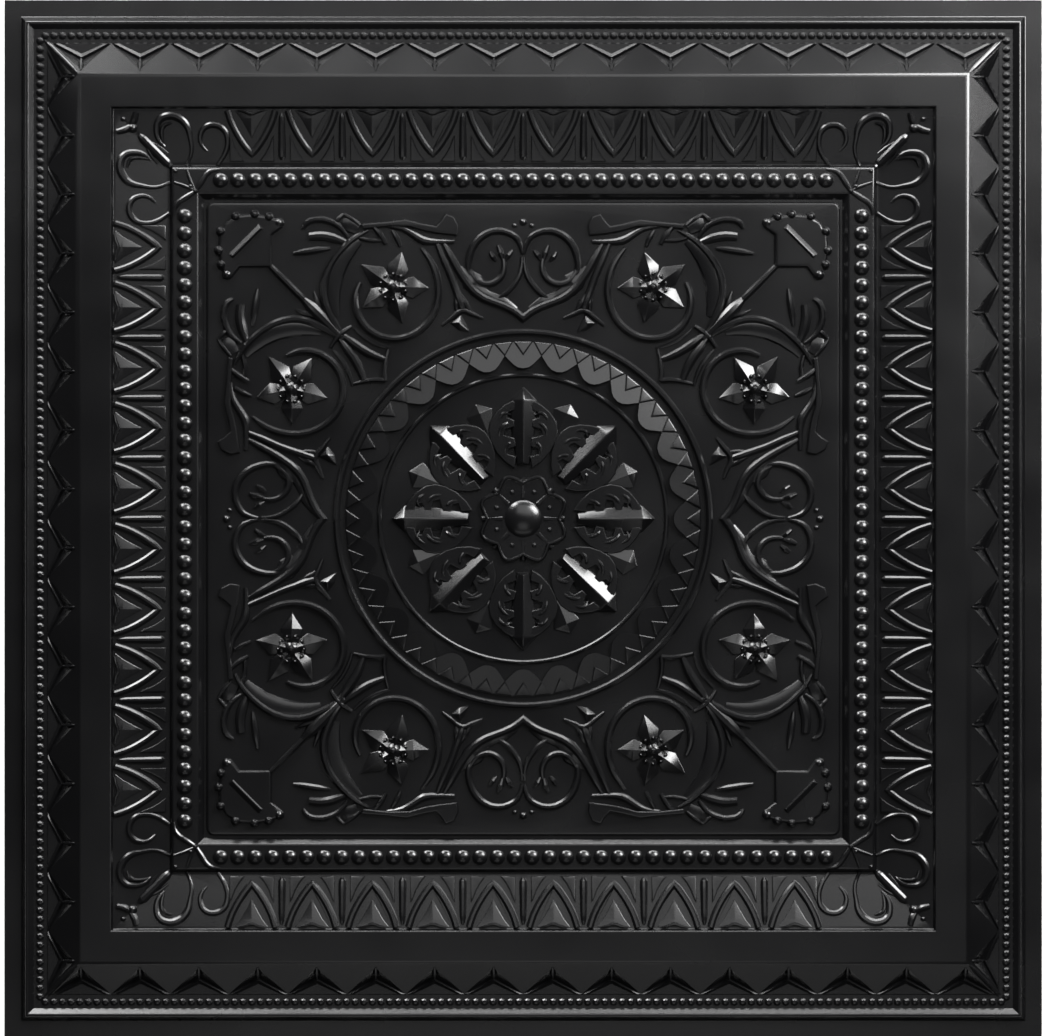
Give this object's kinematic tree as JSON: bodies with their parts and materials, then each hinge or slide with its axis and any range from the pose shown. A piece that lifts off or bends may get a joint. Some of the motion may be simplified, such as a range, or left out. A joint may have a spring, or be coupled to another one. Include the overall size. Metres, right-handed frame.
{
  "type": "drop ceiling tile",
  "caption": "Square lay-in ceiling tile of thermoformed PVC sheet, with raised frame, egg-and-dart band, bead moulding and rosette medallion.",
  "frame": {"origin": "centre of the tile, on the plane of the flange's back, which the tile lies on", "axes": "+Z out of the ornamental face, +Y towards the picture's upper edge; the tile is the same after a quarter turn"},
  "size_m": [0.603, 0.603, 0.0108],
  "materials": {
    "sheet": "satin black pvc"
  },
  "bodies": {
    "root": {"tile_sheet": "sheet"}
  },
  "joints": []
}
